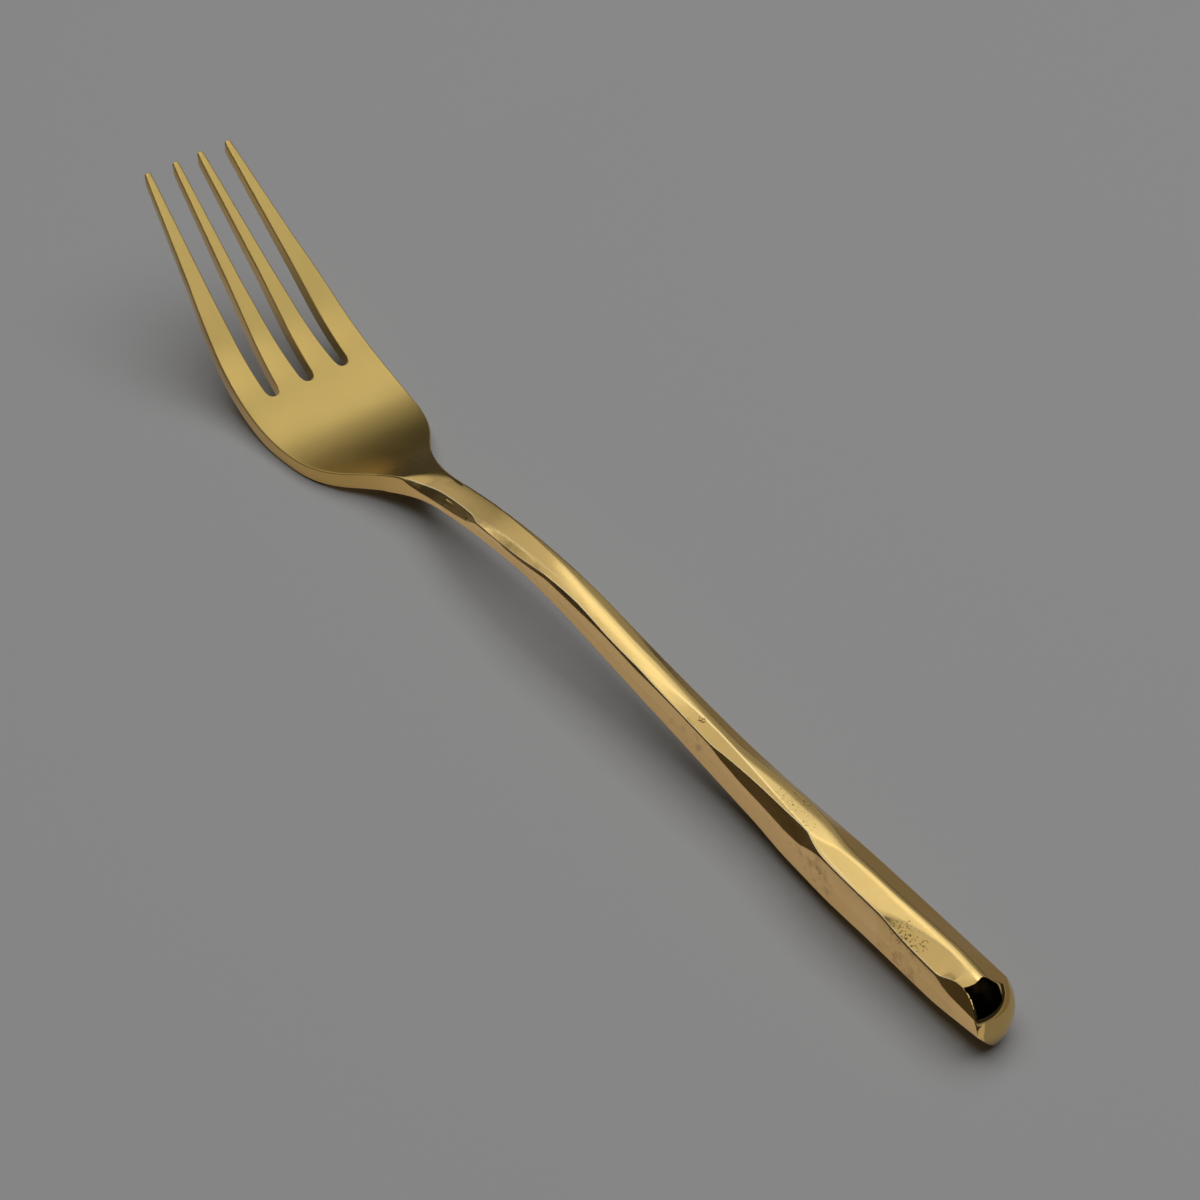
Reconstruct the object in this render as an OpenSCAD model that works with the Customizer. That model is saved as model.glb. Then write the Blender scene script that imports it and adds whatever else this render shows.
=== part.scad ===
// Dessert fork with a hollow hewn handle. A forged head carries a tang, and the tang is bedded in
// cement between two pressed half shells that are soldered along their rims.
// X runs from the tine tips to the butt, Y across the tines, Z up. The fork lies on Z = 0 on its heel
// and on the flat under its butt. Stations along the fork are measured from the tine tips.

/* [Overall] */
// Length from the tine tips to the butt
fork_l = 180.6; // [175:0.2:191]
// Height of the upper side of the tine tips above the table
tip_h = 24.9; // [23.6:0.1:26.4]

/* [Tines and palm] */
// Width of the head at its widest place
head_w = 21.8; // [21:0.2:23.6]
// Width over the two outer tine tips
tip_w = 14.4; // [13.4:0.2:15.4]
// Station of the closed ends of the slots
slot_x = 30; // [27:0.5:32]
// Width of a slot at its closed end
slot_w = 2.0; // [1.6:0.1:2.4]
// Distance between neighbouring slots at their closed ends
slot_pitch = 5.8; // [5.6:0.05:6]
// Width of a tine at its tip
tine_tip_w = 1.1; // [0.9:0.05:1.4]
// Thickness of a tine at its tip
tine_t = 1.5; // [1.2:0.05:1.8]
// Thickness of the palm at the heel
palm_t = 2.2; // [1.9:0.05:2.5]
// Station of the heel, the low place of the head
heel_x = 40; // [38:0.5:42]
// Radius of the palm's upper side towards the tines
palm_r = 31; // [29:0.5:33]
// Radius of the palm's upper side towards the neck
heel_r = 36; // [32:0.5:40]
// Radius of the palm's underside towards the neck
under_r = 48; // [42:0.5:54]
// Radius of the rounded shoulders in plan
shoulder_r = 19.5; // [17:0.5:22]

/* [Handle] */
// Width of the neck
neck_w = 4.1; // [4:0.05:4.6]
// Station of the joint between the head and the handle shells
joint_x = 66; // [65:0.5:70]
// Station of the highest place of the handle
arch_x = 91; // [88:0.5:94]
// Height of the handle's upper side at that place
arch_h = 11.4; // [10.6:0.1:12.2]
// Depth of the handle at that place
arch_t = 4.7; // [4.3:0.1:5.1]
// Width of the butt
butt_w = 7.8; // [7.2:0.1:8.6]
// Depth of the butt
butt_h = 9.5; // [9:0.1:10.4]
// Length of the flat under the butt
rest_l = 24.6; // [20:0.2:30]
// Depth of the deepest leaf hewn from the upper left edge
leaf_t = 1.4; // [1.1:0.05:1.6]
// Angle of the long facet on the right of the top
facet_a = 35; // [30:1:40]
// Angle of the two lower facets from the level
chine_a = 50; // [45:1:55]

/* [Inside] */
// Wall of the pressed half shells
wall = 0.6; // [0.5:0.05:0.7]
// Thickness of the cement between the tang and the walls at the joint
bed_t = 0.45; // [0.38:0.01:0.6]
// Length of the tang in the handle
tang_l = 30; // [24:1:36]
// Thickness of the solder bead on the inside of the seam
bead_t = 0.25; // [0.2:0.01:0.3]
// Height of the solder bead across the seam
bead_h = 1; // [0.8:0.05:1.2]

/* [Hidden] */
far = 40;
over = 4;
// stations as shares of the neck, from the joint to the arch, and of the bar behind it
function neck_at(s) = joint_x + s * (arch_x - joint_x);
function bar_at(s) = arch_x + s * (fork_l - arch_x);
// the last place of the palm where no neck facet reaches
fade_x = joint_x - 2 * neck_w;
// top line: tine, palm, neck and handle, each arc tangent to the next
palm_z = palm_t + palm_r;
tine_a = asin(palm_r / norm([heel_x, palm_z - tip_h])) - atan2(palm_z - tip_h, heel_x);
rise_a = 2 * atan((arch_h - palm_t) / (arch_x - heel_x));
arch_r = (arch_x - heel_x) / sin(rise_a) - heel_r;
level_x = bar_at(0.48);
fall_a = 2 * atan((arch_h - butt_h) / (level_x - arch_x));
fall_r = (level_x - arch_x) / sin(fall_a) - arch_r;
// bottom line: the same for the underside, down to the flat under the butt
low_tip = tip_h - tine_t / cos(tine_a);
low_a = asin(palm_z / norm([heel_x, palm_z - low_tip])) - atan2(palm_z - low_tip, heel_x);
under_h = arch_h - arch_t;
under_x = neck_at(0.8);
swing_a = 2 * atan(under_h / (under_x - heel_x));
under_arch_r = (under_x - heel_x) / sin(swing_a) - under_r;
flat_x = fork_l - rest_l;
flat_d = [flat_x - under_x, under_arch_r - under_h];
drop_a = atan2(flat_d[0], flat_d[1]) - acos(under_arch_r / norm(flat_d));
// plan: the shoulders run into the neck by tangent arcs, which end a little before the joint
neck_x = joint_x - neck_w / 2;
wide_x = 0.825 * heel_x;
ease_r = 60;
ease_a = 8;
turn_x = wide_x + (ease_r - shoulder_r) * sin(ease_a);
turn_y = head_w / 2 - (ease_r - shoulder_r) * (1 - cos(ease_a));
turn_a = 2 * atan((turn_y - neck_w / 2) / (neck_x - turn_x));
fillet_r = (neck_x - turn_x) / sin(turn_a) - shoulder_r;
tip_y = (tip_w - tine_tip_w) / 2;
tine_y = [-tip_y, -0.31 * tip_y, 0.31 * tip_y, tip_y];
side_r = 104;

// dome of the butt, just large enough to clear the right edge of the bar
dome_y = -0.154 * butt_w;
dome_z = 0.4 * butt_h;
dome_r = norm([butt_w / 2 - dome_y, butt_h - tan(facet_a) * 0.55 * butt_w - dome_z]) + 0.013 * butt_w;

// points of a hollow arc below its centre, angles from straight down
function cup(x, z, r, a0, a1, n, from = 1) =
    [for (i = [from : n]) let (a = a0 + (a1 - a0) * i / n) [x + r * sin(a), z - r * cos(a)]];
// points of a raised arc above its centre, angles from straight up
function crown(x, z, r, a0, a1, n, from = 1) =
    [for (i = [from : n]) let (a = a0 + (a1 - a0) * i / n) [x + r * sin(a), z + r * cos(a)]];

top_line = concat(
    [[-over, tip_h + over * tan(tine_a)]],
    cup(heel_x, palm_z, palm_r, -tine_a, 0, 16, 0),
    cup(heel_x, palm_t + heel_r, heel_r, 0, rise_a, 8),
    crown(arch_x, arch_h - arch_r, arch_r, -rise_a, fall_a, 12),
    cup(level_x, butt_h + fall_r, fall_r, -fall_a, 0, 5),
    [[fork_l + over, butt_h]]);
low_line = concat(
    [[-over, low_tip + over * tan(low_a)]],
    cup(heel_x, palm_z, palm_z, -low_a, 0, 16, 0),
    cup(heel_x, under_r, under_r, 0, swing_a, 7),
    crown(under_x, under_h - under_arch_r, under_arch_r, -swing_a, drop_a, 10),
    [[flat_x, 0], [fork_l + over, 0]]);
side_line = concat(
    crown(wide_x, head_w / 2 - side_r, side_r, -asin(0.6 * wide_x / side_r), 0, 6, 0),
    crown(wide_x, head_w / 2 - ease_r, ease_r, 0, ease_a, 3),
    crown(turn_x, turn_y - shoulder_r, shoulder_r, ease_a, turn_a, 8),
    cup(neck_x, neck_w / 2 + fillet_r, fillet_r, -turn_a, 0, 10),
    [[joint_x, neck_w / 2]]);
handle_line = [
    [joint_x - over, neck_w / 2],
    [bar_at(0.1), neck_w / 2],
    [bar_at(0.5), 0.66 * butt_w / 2],
    [bar_at(0.665), 0.9 * butt_w / 2],
    [fork_l + over, butt_w / 2]];

function top_z(x) = lookup(x, top_line);
function low_z(x) = lookup(x, low_line);
function half_w(x) = lookup(x, x < joint_x ? side_line : handle_line);
function mid_z(x) = (low_z(x) + top_z(x)) / 2;
function seam_z(x) = low_z(x) + 0.55 * (top_z(x) - low_z(x));
// tang: it fills the hollow at the joint but for the cement around it and the bead at its sides
tang_w = neck_w - 2 * (wall + bead_t + bed_t);
tang_t = top_z(joint_x) - low_z(joint_x) - 2 * (wall + bed_t);
// slope of the top at a station
function slope(x) = atan2(top_z(x + over / 2) - top_z(x - over / 2), over);
// stations of the hewn handle
stops = concat(
    [for (s = [0, 0.36, 0.68]) neck_at(s)],
    [for (s = [0, 0.1, 0.22, 0.38, 0.5, 0.665, 0.777, 0.9]) bar_at(s)],
    [fork_l + over]);
// reach of the long right facet from the middle of the bar
function crease(x) = half_w(x) * lookup(x, [[bar_at(0.067), 0.76], [bar_at(0.4), 0.04],
    [bar_at(0.777), 0.02], [fork_l, -0.11]]);
facet_line = [for (x = stops) [x, top_z(x) * cos(facet_a) + crease(x) * sin(facet_a)]];
facet_start = top_z(fade_x) * cos(facet_a) + 1.03 * half_w(fade_x) * sin(facet_a);
// height of the lower facets on the sides of the bar
function chine(x) = butt_h * lookup(x, [[joint_x, 0.065], [neck_at(0.76), 0.135], [bar_at(0.1), 0.095],
    [bar_at(0.554), 0.115], [bar_at(0.732), 0.325], [bar_at(0.9), 0.325], [fork_l + over, 0.525]]);
chine_line = [for (x = stops) [x, half_w(x) * sin(chine_a) - (low_z(x) + chine(x)) * cos(chine_a)]];
chine_start = 1.03 * half_w(fade_x) * sin(chine_a) - low_z(fade_x) * cos(chine_a);
fade_line = [[-over, far], [fade_x - over, far]];
// depth that the hewn leaves take from the upper left edge
function leaf_d(x) = leaf_t * lookup(x, [[joint_x, 0.45], [neck_at(0.36), 0.62], [neck_at(0.68), 0.7],
    [bar_at(0.446), 0.72], [bar_at(0.71), 1.07]]);
edge_a = 40;
edge_line = [for (x = stops) [x, half_w(x) * sin(edge_a) + top_z(x) * cos(edge_a) - leaf_d(x)]];

// solid under a line of stations, leaning about X by an angle: 0 faces up, 90 faces the near side
module under_line(points, lean, inset = 0) {
    rotate([lean, 0, 0])
        rotate([90, 0, 0])
            linear_extrude(height = 3 * far, center = true)
                polygon(concat(
                    [for (p = points) [p[0], p[1] - inset]],
                    [[points[len(points) - 1][0], -3 * far], [points[0][0], -3 * far]]));
}

// band between the bottom and top lines, seen from the side
module side_band(x0, x1, inset = 0) {
    rotate([90, 0, 0])
        linear_extrude(height = far, center = true)
            polygon(concat(
                [[x0, top_z(x0) - inset]],
                [for (p = top_line) if (p[0] > x0 + 0.01 && p[0] < x1 - 0.01) [p[0], p[1] - inset]],
                [[x1, top_z(x1) - inset], [x1, low_z(x1) + inset]],
                [for (i = [len(low_line) - 1 : -1 : 0]) let (p = low_line[i])
                    if (p[0] > x0 + 0.01 && p[0] < x1 - 0.01) [p[0], p[1] + inset]],
                [[x0, low_z(x0) + inset]]));
}

// plan of the head: four tines, three slots, shoulders and neck
module head_plan() {
    r = tine_tip_w / 2;
    s = slot_w / 2;
    n = len(side_line);
    // half-way down, a slot is half as wide again as at its closed end
    tines = [for (k = [3 : -1 : 0]) let (mid = (k - 2) * (slot_pitch + 0.655 * tip_y) / 2) each concat(
        [for (i = [0 : 6]) let (a = 90 + 30 * i) [r + r * cos(a), tine_y[k] + r * sin(a)]],
        k == 0 ? [] : [[slot_x / 2, mid + 1.5 * s]],
        k == 0 ? [] : [for (i = [0 : 8]) let (a = 90 - 22.5 * i)
            [slot_x - s + s * cos(a), (k - 2) * slot_pitch + s * sin(a)]],
        k == 0 ? [] : [[slot_x / 2, mid - 1.5 * s]])];
    linear_extrude(height = 2 * far, center = true)
        polygon(concat(
            [for (i = [n - 1 : -1 : 0]) side_line[i]],
            tines,
            [for (p = side_line) [p[0], -p[1]]]));
}

// plan of the handle
module handle_plan(inset = 0) {
    n = len(handle_line);
    linear_extrude(height = 2 * far, center = true)
        polygon(concat(
            [for (p = handle_line) [p[0], p[1] - inset]],
            [for (i = [n - 1 : -1 : 0]) [handle_line[i][0], inset - handle_line[i][1]]]));
}

// the three long facets, which run on from the neck into the handle
module long_facets() {
    intersection() {
        under_line(concat(fade_line, [[fade_x, facet_start]], facet_line), -facet_a);
        under_line(concat(fade_line, [[fade_x, chine_start]], chine_line), 180 - chine_a);
        under_line(concat(fade_line, [[fade_x, chine_start]], chine_line), chine_a - 180);
    }
}

// one hewn leaf: a shallow gouge across the upper left edge, lean 90 being square to the side, with its
// depth as a share of the deepest leaf's
module leaf(x, lean, share, length) {
    depth = share * leaf_t;
    r = pow(length, 2) / 8 / depth + depth / 2;
    translate([x, -half_w(x), top_z(x)])
        rotate([0, -slope(x), 0])
            rotate([lean, 0, 0])
                translate([0, 0, r - depth])
                    rotate([90, 0, 0])
                        cylinder(h = far, r = r, center = true, $fn = 180);
}

// the first leaf, which runs from the head into the handle
module neck_leaf() {
    leaf(neck_at(0.08), 65, 0.47, 0.74 * (arch_x - joint_x));
}

// leaves in order from the neck to the butt
module leaves() {
    bar_l = fork_l - arch_x;
    neck_leaf();
    leaf(neck_at(0.72), 49, 0.6, 0.82 * (arch_x - joint_x));
    leaf(bar_at(0.364), 9, 0.23, 0.268 * bar_l);
    leaf(bar_at(0.474), 74, 0.41, 0.226 * bar_l);
    leaf(bar_at(0.741), 4.6, 0.19, 0.346 * bar_l);
    leaf(bar_at(0.873), 32, 1, 0.203 * bar_l);
    leaf(fork_l, 78, 0.56, 0.19 * bar_l);
}

// what lies outside the domed butt, with the dome drawn in by the inset
module butt_waste(inset = 0) {
    difference() {
        translate([fork_l - dome_r, -far, -far])
            cube([far, 2 * far, 2 * far]);
        translate([fork_l - dome_r, dome_y, dome_z])
            sphere(r = dome_r - inset, $fn = 96);
    }
}

// outside of the handle
module handle_form() {
    difference() {
        intersection() {
            side_band(joint_x, fork_l + over);
            handle_plan();
            long_facets();
        }
        leaves();
        butt_waste();
    }
}

// inside of the handle, drawn in from the outside by the inset
module handle_hollow(inset, from) {
    difference() {
        intersection() {
            side_band(from, fork_l + over, inset);
            handle_plan(inset);
            under_line(facet_line, -facet_a, inset);
            under_line(chine_line, 180 - chine_a, inset);
            under_line(chine_line, chine_a - 180, inset);
            under_line(edge_line, edge_a, inset);
        }
        butt_waste(inset);
    }
}

// stations of the seam
seam_stops = concat(
    [joint_x - over],
    [for (s = [0.2, 0.44, 0.68]) neck_at(s)],
    [for (s = [0, 0.1, 0.22, 0.38, 0.554, 0.732]) bar_at(s)],
    [fork_l + over]);

// space above the seam
module above_seam() {
    rotate([90, 0, 0])
        linear_extrude(height = far, center = true)
            polygon(concat(
                [for (x = seam_stops) [x, seam_z(x)]],
                [[fork_l + over, far], [joint_x - over, far]]));
}

// band along a line of stations, as deep and as wide as given
module band(xs, zs, depth, width) {
    n = len(xs);
    rotate([90, 0, 0])
        linear_extrude(height = width, center = true)
            polygon(concat(
                [for (i = [0 : n - 1]) [xs[i], zs[i] + depth / 2]],
                [for (i = [n - 1 : -1 : 0]) [xs[i], zs[i] - depth / 2]]));
}

// tang inside the handle, in the middle of the bar
module tang() {
    xs = concat([joint_x - over / 4], [for (s = [0, 0.2, 0.44, 0.68]) neck_at(s)], [joint_x + tang_l]);
    band(xs, [for (x = xs) mid_z(x)], tang_t, tang_w);
}

// bead of solder on the inside of the seam
module bead() {
    intersection() {
        band(seam_stops, [for (x = seam_stops) seam_z(x)], bead_h, far);
        difference() {
            handle_hollow(wall, joint_x);
            handle_hollow(wall + bead_t, joint_x - over);
        }
    }
}

module fork_head() {
    color("#C9A55C") translate([-fork_l / 2, 0, 0]) {
        difference() {
            intersection() {
                side_band(-over, joint_x);
                head_plan();
                long_facets();
            }
            neck_leaf();
        }
        tang();
    }
}

module upper_handle_shell() {
    color("#C2A262") translate([-fork_l / 2, 0, 0])
        difference() {
            intersection() {
                handle_form();
                above_seam();
            }
            handle_hollow(wall, joint_x - over);
        }
}

module lower_handle_shell() {
    color("#B08F52") translate([-fork_l / 2, 0, 0])
        difference() {
            handle_form();
            above_seam();
            handle_hollow(wall, joint_x - over);
        }
}

module handle_filler() {
    color("#8C8A84") translate([-fork_l / 2, 0, 0])
        difference() {
            handle_hollow(wall, joint_x);
            tang();
            bead();
        }
}

module seam_solder() {
    color("#D8D4C8") translate([-fork_l / 2, 0, 0])
        bead();
}

fork_head();
upper_handle_shell();
lower_handle_shell();
handle_filler();
seam_solder();
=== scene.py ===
# %% [markdown]
# # A dessert fork with a hewn handle
#
# The fork is a satin gold-coloured head on a polished, hewn handle. The solid model gives its five pieces
# and their places. This script dresses the three pieces that can be seen: the head and the two halves of
# the handle. The cement and the solder stay inside as they are and only get their own materials.
#
# The script first loads the solid model, so that every piece goes where its solid is.

# %% Load the solid model
from math import acos, asin, atan, atan2, cos, degrees, hypot, pi, radians, sin, tan

import bpy
import numpy as np
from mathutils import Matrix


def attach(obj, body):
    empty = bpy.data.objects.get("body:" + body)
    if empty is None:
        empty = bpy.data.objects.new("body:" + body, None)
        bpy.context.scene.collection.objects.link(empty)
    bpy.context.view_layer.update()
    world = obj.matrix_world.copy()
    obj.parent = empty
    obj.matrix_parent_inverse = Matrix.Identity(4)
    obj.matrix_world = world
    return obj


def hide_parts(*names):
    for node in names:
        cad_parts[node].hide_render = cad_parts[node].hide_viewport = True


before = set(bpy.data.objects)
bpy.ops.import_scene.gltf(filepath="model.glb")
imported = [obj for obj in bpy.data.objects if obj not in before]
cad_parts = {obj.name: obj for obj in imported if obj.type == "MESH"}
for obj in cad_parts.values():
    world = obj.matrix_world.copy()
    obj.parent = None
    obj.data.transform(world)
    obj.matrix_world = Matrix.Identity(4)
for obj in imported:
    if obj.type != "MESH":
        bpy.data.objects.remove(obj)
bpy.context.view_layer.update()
scene = bpy.context.scene
scene.view_settings.view_transform = "Standard"
print("solids:", ", ".join(sorted(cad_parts)))

# %% [markdown]
# ## The camera
#
# The photograph is taken from above the butt's side with a long lens, so the fork runs from the lower right
# to the upper left with hardly any perspective. The camera stands level, 43 degrees above the table, and
# needs no shift.

# %% Camera
lens = bpy.data.cameras.new("long_lens")
lens.lens, lens.sensor_width, lens.clip_start = 120, 36, 0.01
camera = bpy.data.objects.new("camera", lens)
scene.collection.objects.link(camera)
scene.camera = camera
camera.location = (0.3170, -0.2250, 0.3598)
aim = np.array([-0.0024, 0.00826, 0.0]) - np.array(camera.location)
camera.rotation_euler = (pi / 2 + asin(aim[2] / np.linalg.norm(aim)), 0, atan2(-aim[0], aim[1]))
print("camera at", [round(v, 3) for v in camera.location])

# %% [markdown]
# ## The lines of the fork
#
# A fork is drawn with a few arcs: a side view with the tines, the palm, the neck and the arch of the
# handle, and a plan with the shoulders. These are the same arcs and the same sizes, in millimetres from the
# tine tips, as the solids have. Each line is kept as a function that gives its height or its half width at
# a station.

# %% Sizes
fork_l, tip_h, head_w, tip_w = 180.6, 24.9, 21.8, 14.4
slot_x, slot_w, slot_pitch, tine_tip_w = 30, 2.0, 5.8, 1.1
tine_t, palm_t, heel_x, palm_r, heel_r, under_r = 1.5, 2.2, 40, 31, 36, 48
shoulder_r, neck_w, joint_x, arch_x, arch_h, arch_t = 19.5, 4.1, 66, 91, 11.4, 4.7
butt_w, butt_h, rest_l, wall, tang_l = 7.8, 9.5, 24.6, 0.6, 30
facet_a, chine_a, edge_a = radians(35), radians(50), radians(40)
# radius of the head's sides, and radius and angle of the ease between them and the round shoulders
side_r, ease_r, ease_a = 104, 60, radians(8)


def neck_at(share):
    """Station at a share of the way from the joint to the top of the arch."""
    return joint_x + share * (arch_x - joint_x)


def bar_at(share):
    """Station at a share of the way from the top of the arch to the butt."""
    return arch_x + share * (fork_l - arch_x)


def metres(points):
    """Stations, widths and heights in millimetres to places in the shared frame in metres."""
    return (np.asarray(points, float) - (fork_l / 2, 0, 0)) / 1000


print(f"fork {fork_l} mm long, joint at {joint_x} mm, top of the arch at {arch_x} mm")

# %% Arcs and lines


def cup(x, z, r, a0, a1):
    """Points of an arc below its middle."""
    a = np.linspace(a0, a1, 120)
    return np.c_[x + r * np.sin(a), z - r * np.cos(a)]


def crown(x, z, r, a0, a1):
    """Points of an arc above its middle."""
    a = np.linspace(a0, a1, 120)
    return np.c_[x + r * np.sin(a), z + r * np.cos(a)]


def line(*parts):
    """A function that gives the height of a line of points at a station."""
    points = np.vstack(parts)
    return lambda x: np.interp(x, points[:, 0], points[:, 1])


def eased(points, span=7):
    """A line through points whose bends are softened over a span."""
    xs = np.arange(30, 200, 0.25)
    weights = np.hanning(int(span / 0.25))
    ys = np.interp(xs, *np.array(points, float).T)
    ys = np.convolve(np.pad(ys, len(weights), "edge"), weights / weights.sum(), "same")
    return lambda x: np.interp(x, xs, ys[len(weights):-len(weights)])


# %% Side view
palm_z = palm_t + palm_r
tine_a = asin(palm_r / hypot(heel_x, palm_z - tip_h)) - atan2(palm_z - tip_h, heel_x)
rise_a = 2 * atan((arch_h - palm_t) / (arch_x - heel_x))
arch_r = (arch_x - heel_x) / sin(rise_a) - heel_r
level_x = bar_at(0.48)
fall_a = 2 * atan((arch_h - butt_h) / (level_x - arch_x))
fall_r = (level_x - arch_x) / sin(fall_a) - arch_r
top_z = line([[-4, tip_h + 4 * tan(tine_a)]],
             cup(heel_x, palm_z, palm_r, -tine_a, 0),
             cup(heel_x, palm_t + heel_r, heel_r, 0, rise_a),
             crown(arch_x, arch_h - arch_r, arch_r, -rise_a, fall_a),
             cup(level_x, butt_h + fall_r, fall_r, -fall_a, 0),
             [[fork_l + 4, butt_h]])
low_tip = tip_h - tine_t / cos(tine_a)
low_a = asin(palm_z / hypot(heel_x, palm_z - low_tip)) - atan2(palm_z - low_tip, heel_x)
under_h, under_x, flat_x = arch_h - arch_t, neck_at(0.8), fork_l - rest_l
swing_a = 2 * atan(under_h / (under_x - heel_x))
under_arch_r = (under_x - heel_x) / sin(swing_a) - under_r
drop = (flat_x - under_x, under_arch_r - under_h)
drop_a = atan2(*drop) - acos(under_arch_r / hypot(*drop))
low_z = line([[-4, low_tip + 4 * tan(low_a)]],
             cup(heel_x, palm_z, palm_z, -low_a, 0),
             cup(heel_x, under_r, under_r, 0, swing_a),
             crown(under_x, under_h - under_arch_r, under_arch_r, -swing_a, drop_a),
             [[flat_x, 0], [fork_l + 4, 0]])


def mid_z(x):
    """Height half way between the underside and the top."""
    return (top_z(x) + low_z(x)) / 2


def seam_z(x):
    """Height at which the two halves of the handle meet."""
    return low_z(x) + 0.55 * (top_z(x) - low_z(x))


print(f"tines rise at {degrees(tine_a):.1f} degrees, arch radius {arch_r:.0f} mm")

# %% Plan
neck_x, wide_x = joint_x - neck_w / 2, 0.825 * heel_x
turn_x = wide_x + (ease_r - shoulder_r) * sin(ease_a)
turn_y = head_w / 2 - (ease_r - shoulder_r) * (1 - cos(ease_a))
turn_a = 2 * atan((turn_y - neck_w / 2) / (neck_x - turn_x))
fillet_r = (neck_x - turn_x) / sin(turn_a) - shoulder_r
side_y = line([[0.5, tip_w / 2]],
              crown(wide_x, head_w / 2 - side_r, side_r, -asin(0.6 * wide_x / side_r), 0),
              crown(wide_x, head_w / 2 - ease_r, ease_r, 0, ease_a),
              crown(turn_x, turn_y - shoulder_r, shoulder_r, ease_a, turn_a),
              cup(neck_x, neck_w / 2 + fillet_r, fillet_r, -turn_a, 0),
              [[joint_x + 2, neck_w / 2]])
bar_y = eased([(joint_x, neck_w / 2), (bar_at(0.1), neck_w / 2), (bar_at(0.5), 0.33 * butt_w),
               (bar_at(0.665), 0.45 * butt_w), (fork_l + 4, butt_w / 2)])


def half_w(x):
    """Half the width of the head, the neck or the handle."""
    return side_y(x) if x < joint_x else bar_y(x)


for name, x in ("head", wide_x), ("neck", joint_x), ("butt", fork_l):
    print(f"{name} {2 * half_w(x):.1f} mm wide")

# %% [markdown]
# ## The cross-section of the neck and handle
#
# The handle is a bar with hewn faces: a crowned top, a long facet on its right, two facets below, and on
# its upper left a ridge that wanders along the bar. Above the ridge the leaves lean to the left, each
# struck as if with a round gouge, and below it a narrow bevel, which widens to three dark lenses, runs down
# to the side.
#
# A Boolean with gouges would leave thin slivers along the edges, and polished metal shows every one of
# them. So the section is worked out at each station, with the same number of points in the same order, and
# the points of neighbouring stations make clean strips of faces along the bar. The lines that the leaves
# follow are lists of stations, read as a maker would read them off the fork with a rule.

# %% Lines of the hewn faces
# how far in from the left side the ridge lies, and how far below the top
ridge_in = eased([(54, .05), (57, .08), (58.5, .42), (61, .8), (64, .95), (67, .92), (70, .82), (72, .68),
                  (73, .42), (73.8, .08), (79, .02), (81, .07), (86, .12), (90, .2), (93.3, .36),
                  (96.2, .42), (99.4, .26), (102.5, .15), (106.3, .16), (110, .24), (114, .1), (118, .06),
                  (125.5, .06), (127, .15), (128.5, .3), (130.7, .42), (133, .5), (137, .6), (140.5, .75),
                  (143.8, .95), (145.2, .95), (146, .72), (146.8, .5), (148, .25), (149, .12), (150.5, .06),
                  (172, .06), (173, .25), (174.5, .5), (176, .6), (180, .65)], 1.6)
ridge_down = eased([(72.6, .3), (73.5, .6), (74.9, .95), (77, 1.14), (79, 1.26), (81.2, 1.32), (83.2, 1.2),
                    (85.7, .9), (88, .5), (90, .22), (92, .05), (107, 0), (111, .05), (114, .08),
                    (118, .15), (122, .29), (126, .46), (128, .38), (131, .3), (133.3, .24), (137, .16),
                    (140.5, .1), (143.8, .04), (145.2, .02), (147, .1), (149.5, .2), (152, .26), (155, .3),
                    (160.6, .36), (161.4, .42), (162.4, .62), (163.5, .85), (165.1, 1.1), (166.5, 1.25),
                    (168.5, 1.37), (171.5, 1.42), (172.5, 1.2), (173.5, .75), (174.5, .35),
                    (180, .33)], 1.2)
# how far in the crest of each leaf lies, where the leaf meets the top
crest_in = eased([(71.8, 0), (72.9, .45), (74.6, .75), (78.8, 1), (83.3, 1.05), (88.2, 1.08), (91.6, 1.25),
                  (93.9, 1.2), (95.4, .95), (96.5, .6), (98, .3), (106, .3), (108.1, .55), (111, .95),
                  (114.1, 1.4), (117.6, 1.77), (121.3, 2), (125.3, 2), (128.9, 1.82), (133.4, 1.5),
                  (136.8, 1.3), (140, 1.25), (143.6, 1.15), (145, 1.1), (146, .9), (150, .5), (156, .2),
                  (160.4, .1), (161.2, .45), (162, .85), (163.6, 1.4), (166, 2), (168.8, 2.5), (171, 2.68),
                  (173.2, 2.48), (175.1, 1.95), (176.9, .85), (178, .4)], 1.2)
# how far below the top the bevel under the ridge ends on the left side
bevel_down = eased([(54, .15), (57.5, .25), (58.5, .9), (59.2, 1.2), (60.7, 1.7), (63.2, 2.05), (66.1, 2.1),
                    (68.7, 2.1), (71.4, 1.85), (72.8, 1.35), (73.6, 1.1), (75, 1.25), (77.2, 1.45),
                    (78.6, 1.6), (82, 1.6), (84, 1.55), (86, 1.35), (88, 1.05), (90, .7), (96, .62),
                    (99.5, .5), (103, .35), (110, .42), (114, .35), (118, .4), (122, .52), (125.5, .7),
                    (126.5, .9), (128, 1.35), (130, 1.6), (131.8, 1.9), (134.6, 2.15), (137.4, 2.28),
                    (141.7, 2.35), (143, 2.25), (144.2, 2.1), (145.2, 1.9), (146, 1.5), (146.8, 1.15),
                    (148, .75), (149, .55), (151, .5), (160, .58), (161.4, .66), (162.4, .86),
                    (163.5, 1.08), (165, 1.33), (166.5, 1.48), (168.5, 1.6), (171.5, 1.7), (172.2, 1.95),
                    (173, 2.4), (174.5, 2.7), (180, 2.9)], 1.2)
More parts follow.
